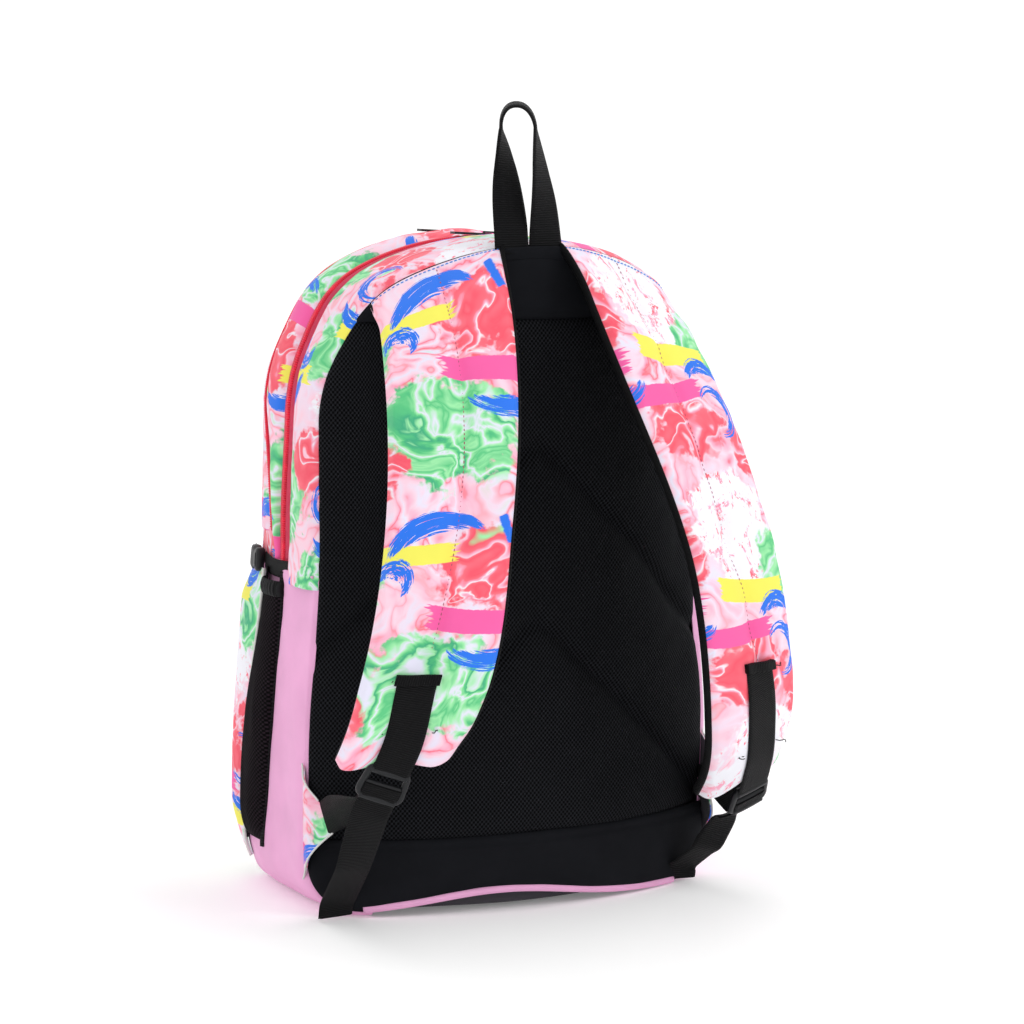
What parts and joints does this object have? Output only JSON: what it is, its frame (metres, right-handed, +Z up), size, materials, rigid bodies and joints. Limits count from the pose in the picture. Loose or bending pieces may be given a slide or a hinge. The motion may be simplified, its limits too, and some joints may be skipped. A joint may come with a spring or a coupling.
{
  "type": "school backpack",
  "caption": "School backpack with a padded mesh back, curved shoulder straps, zipped compartments, front pocket, side mesh pockets and a grab loop.",
  "frame": {"origin": "on the base, on the bag's centre plane, 75 mm in front of the back seam", "axes": "+Z up; -Y towards the wearer's back and the shoulder straps; +X towards the bag's right side seen from the strap side"},
  "size_m": [0.3357, 0.33, 0.5515],
  "materials": {
    "air_mesh": "open knitted mesh",
    "black_cloth": "matt woven polyester",
    "foam": "closed-cell foam",
    "lining": "thin woven lining",
    "pink_cloth": "matt woven polyester",
    "printed_cloth": "woven polyester with a marbled print",
    "zip_tape": "woven tape with a nylon coil",
    "zip_metal": "black enamel",
    "pocket_mesh": "open mesh",
    "white_piping": "satin piping",
    "black_plastic": "moulded acetal",
    "black_webbing": "ribbed polyester webbing"
  },
  "bodies": {
    "pack": {"back_mesh_panel": "air_mesh", "back_yoke": "black_cloth", "back_lower_band": "black_cloth", "back_foam": "foam", "inner_sleeve": "lining", "main_gusset": "printed_cloth", "side_panel_left": "pink_cloth", "side_panel_right": "pink_cloth", "base_panel": "pink_cloth", "divider_lower": "lining", "front_lower_panel": "printed_cloth", "main_zip_back": "zip_tape", "front_pocket": "printed_cloth", "pocket_piping": "white_piping", "pocket_zip": "zip_tape", "mesh_pocket_left": "pocket_mesh", "mesh_pocket_right": "pocket_mesh", "pocket_elastic_left": "black_webbing", "pocket_elastic_right": "black_webbing", "side_webbing_left": "black_webbing", "side_webbing_right": "black_webbing", "buckle_socket_left": "black_plastic", "buckle_socket_right": "black_plastic", "anchor_webbing_left": "black_webbing", "anchor_webbing_right": "black_webbing", "strap_wing_left": "printed_cloth", "strap_wing_right": "printed_cloth"},
    "flap": {"divider_upper": "lining", "main_zip_front": "zip_tape", "second_gusset": "printed_cloth", "second_zip_back": "zip_tape"},
    "front_flap": {"second_zip_front": "zip_tape", "front_rim": "printed_cloth", "front_panel": "printed_cloth"},
    "grab_loop": {"grab_loop": "black_webbing"},
    "lock_left": {"ladder_lock_left": "black_plastic"},
    "lock_right": {"ladder_lock_right": "black_plastic"},
    "strap_left": {"strap_pad_left": "printed_cloth", "strap_lining_left": "air_mesh", "strap_binding_left": "black_webbing", "strap_webbing_left": "black_webbing", "tail_webbing_left": "black_webbing"},
    "main_slider_left": {"main_slider_left": "zip_metal"},
    "main_pull_left": {"main_pull_left": "zip_metal"},
    "second_slider_left": {"second_slider_left": "zip_metal"},
    "second_pull_left": {"second_pull_left": "zip_metal"},
    "buckle_plug_left": {"buckle_plug_left": "black_plastic"},
    "strap_right": {"strap_pad_right": "printed_cloth", "strap_lining_right": "air_mesh", "strap_binding_right": "black_webbing", "strap_webbing_right": "black_webbing", "tail_webbing_right": "black_webbing"},
    "main_slider_right": {"main_slider_right": "zip_metal"},
    "main_pull_right": {"main_pull_right": "zip_metal"},
    "second_slider_right": {"second_slider_right": "zip_metal"},
    "second_pull_right": {"second_pull_right": "zip_metal"},
    "buckle_plug_right": {"buckle_plug_right": "black_plastic"},
    "pocket_slider": {"pocket_slider": "zip_metal"},
    "pocket_pull": {"pocket_pull": "zip_metal"}
  },
  "joints": [
    {"name": "flap_open", "type": "hinge", "parent": "pack", "child": "flap", "pos_m": [0, 0.064, 0.25], "axis": [-1, 0, 0], "range_deg": [0, 22]},
    {"name": "front_open", "type": "hinge", "parent": "flap", "child": "front_flap", "pos_m": [0, 0.064, 0.25], "axis": [-1, 0, 0], "range_deg": [0, 18]},
    {"name": "main_zip_left", "type": "hinge", "parent": "flap", "child": "main_slider_left", "pos_m": [0, -0.016, 0.25], "axis": [0, -1, 0], "range_deg": [0, 26]},
    {"name": "main_zip_right", "type": "hinge", "parent": "flap", "child": "main_slider_right", "pos_m": [0, -0.016, 0.25], "axis": [0, 1, 0], "range_deg": [0, 14]},
    {"name": "second_zip_left", "type": "hinge", "parent": "front_flap", "child": "second_slider_left", "pos_m": [0, 0.042, 0.25], "axis": [0, -1, 0], "range_deg": [0, 26]},
    {"name": "second_zip_right", "type": "hinge", "parent": "front_flap", "child": "second_slider_right", "pos_m": [0, 0.042, 0.25], "axis": [0, 1, 0], "range_deg": [0, 14]},
    {"name": "main_pull_left_lift", "type": "hinge", "parent": "main_slider_left", "child": "main_pull_left", "pos_m": [0.01219, -0.016, 0.45283], "axis": [0, 1, 0], "range_deg": [0, 95]},
    {"name": "main_pull_right_lift", "type": "hinge", "parent": "main_slider_right", "child": "main_pull_right", "pos_m": [0.03251, -0.016, 0.45058], "axis": [0, -1, 0], "range_deg": [0, 95]},
    {"name": "second_pull_left_lift", "type": "hinge", "parent": "second_slider_left", "child": "second_pull_left", "pos_m": [0.01219, 0.042, 0.45283], "axis": [0, 1, 0], "range_deg": [0, 95]},
    {"name": "second_pull_right_lift", "type": "hinge", "parent": "second_slider_right", "child": "second_pull_right", "pos_m": [0.03251, 0.042, 0.45058], "axis": [0, -1, 0], "range_deg": [0, 95]},
    {"name": "pocket_zip_slide", "type": "slide", "parent": "pack", "child": "pocket_slider", "axis": [1, 0, 0], "range_m": [0, 0.176]},
    {"name": "pocket_pull_lift", "type": "hinge", "parent": "pocket_slider", "child": "pocket_pull", "pos_m": [-0.088, 0.09079, 0.23483], "axis": [0, -0.8849, 0.4657], "range_deg": [0, 95]},
    {"name": "grab_loop_fold", "type": "hinge", "parent": "pack", "child": "grab_loop", "pos_m": [0, -0.12, 0.452], "axis": [-1, 0, 0], "range_deg": [-75, 60], "stiffness_Nm_per_rad": 0.05},
    {"name": "strap_left_swing", "type": "hinge", "parent": "pack", "child": "strap_left", "pos_m": [-0.071, -0.113, 0.433], "axis": [-0.9001, 0.23, -0.37], "range_deg": [0, 22]},
    {"name": "strap_right_swing", "type": "hinge", "parent": "pack", "child": "strap_right", "pos_m": [0.071, -0.113, 0.433], "axis": [-0.9001, -0.23, 0.37], "range_deg": [0, 22]},
    {"name": "lock_left_tilt", "type": "hinge", "parent": "strap_left", "child": "lock_left", "pos_m": [-0.13621, -0.18383, 0.11626], "axis": [-0.9229, 0.1851, 0.3376], "range_deg": [-12, 25]},
    {"name": "lock_right_tilt", "type": "hinge", "parent": "strap_right", "child": "lock_right", "pos_m": [0.14423, -0.1581, 0.08464], "axis": [-0.9407, -0.0684, -0.3323], "range_deg": [-12, 25]},
    {"name": "buckle_left_release", "type": "slide", "parent": "pack", "child": "buckle_plug_left", "axis": [0, 1, 0], "range_m": [0, 0.022]},
    {"name": "buckle_right_release", "type": "slide", "parent": "pack", "child": "buckle_plug_right", "axis": [0, 1, 0], "range_m": [0, 0.022]}
  ],
  "couplings": [
    {"joint": "main_zip_left", "follows": "flap_open", "ratio": 1.17},
    {"joint": "main_zip_right", "follows": "flap_open", "ratio": 0.63},
    {"joint": "second_zip_left", "follows": "front_open", "ratio": 1.43},
    {"joint": "second_zip_right", "follows": "front_open", "ratio": 0.77}
  ]
}
